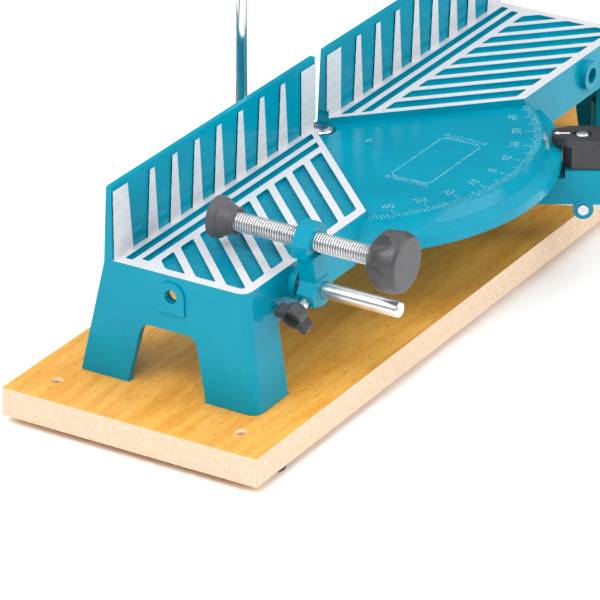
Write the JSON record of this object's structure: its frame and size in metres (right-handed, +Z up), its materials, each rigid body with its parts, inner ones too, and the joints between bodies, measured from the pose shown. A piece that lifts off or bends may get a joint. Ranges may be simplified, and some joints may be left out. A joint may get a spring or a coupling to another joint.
{
  "type": "mitre saw base",
  "caption": "Cast mitre saw base with slatted tables, split fence, protractor, swing arm with guide posts and a screw clamp, fixed to a wooden board on rubber feet.",
  "frame": {"origin": "middle of the box round the whole object, on the floor under its rubber feet", "axes": "+X along the fence to the right, +Y to the back behind the fence, +Z up"},
  "size_m": [0.57, 0.2603, 0.214],
  "materials": {
    "board_wood": "lacquered beech veneer, raw fibreboard edges",
    "foot_rubber": "matt",
    "plated_fasteners": "zinc plated",
    "machine_paint": "gloss enamel over a casting, machined bright on the wear faces",
    "bush_bronze": "turned",
    "guide_steel": "ground and plated",
    "dark_steel": "blackened",
    "lever_steel": "bright pressed steel",
    "spindle_zinc": "bright zinc",
    "black_plastic": "fine grain",
    "pad_rubber": "satin"
  },
  "bodies": {
    "base": {"board": "board_wood", "rubber_foot_1": "foot_rubber", "rubber_foot_2": "foot_rubber", "rubber_foot_3": "foot_rubber", "rubber_foot_4": "foot_rubber", "foot_screw_1": "plated_fasteners", "base_screw_1": "plated_fasteners", "foot_screw_2": "plated_fasteners", "base_screw_2": "plated_fasteners", "foot_screw_3": "plated_fasteners", "base_screw_3": "plated_fasteners", "foot_screw_4": "plated_fasteners", "base_screw_4": "plated_fasteners", "base_casting": "machine_paint", "pivot_bolt": "plated_fasteners", "pivot_washer": "plated_fasteners", "pivot_nut": "plated_fasteners", "clamp_rod": "guide_steel"},
    "arm": {"swing_arm": "machine_paint", "pivot_bush": "bush_bronze", "front_post": "guide_steel", "rear_post": "guide_steel", "front_post_screw": "dark_steel", "rear_post_screw": "dark_steel", "pointer_cover": "black_plastic", "pointer_screw": "plated_fasteners", "lever_pin": "plated_fasteners", "lever_spring": "dark_steel"},
    "release": {"release_lever": "lever_steel"},
    "bracket": {"clamp_bracket": "machine_paint"},
    "wing_screw": {"wing_screw_stem": "plated_fasteners", "wing_screw_head": "black_plastic"},
    "pad": {"clamp_pad": "pad_rubber"},
    "screw": {"spindle": "spindle_zinc", "knob": "black_plastic"}
  },
  "joints": [
    {"name": "arm_swing", "type": "hinge", "parent": "base", "child": "arm", "pos_m": [0, 0.0711, 0.053], "axis": [0, 0, 1], "range_deg": [-75, 15]},
    {"name": "release_turn", "type": "hinge", "parent": "arm", "child": "release", "pos_m": [0.0837, -0.07387, 0.0495], "axis": [-0.866, -0.5, 0], "range_deg": [0, 4], "stiffness_Nm_per_rad": 0.5, "springref_deg": -3.44},
    {"name": "bracket_slide", "type": "slide", "parent": "base", "child": "bracket", "axis": [0, -1, 0], "range_m": [0, 0.045]},
    {"name": "wing_turn", "type": "hinge", "parent": "bracket", "child": "wing_screw", "pos_m": [-0.1858, -0.0364, 0.089], "axis": [-0.9537, 0, -0.3007], "range_deg": [0, 360]},
    {"name": "pad_slide", "type": "slide", "parent": "bracket", "child": "pad", "axis": [0, 1, 0], "range_m": [-0.04, 0.033]},
    {"name": "screw_turn", "type": "hinge", "parent": "pad", "child": "screw", "pos_m": [-0.1876, -0.0289, 0.1203], "axis": [0, 1, 0], "range_deg": [-8240, 6800]}
  ],
  "couplings": [
    {"joint": "screw_turn", "follows": "pad_slide", "rad_per_m": 3590.4}
  ]
}
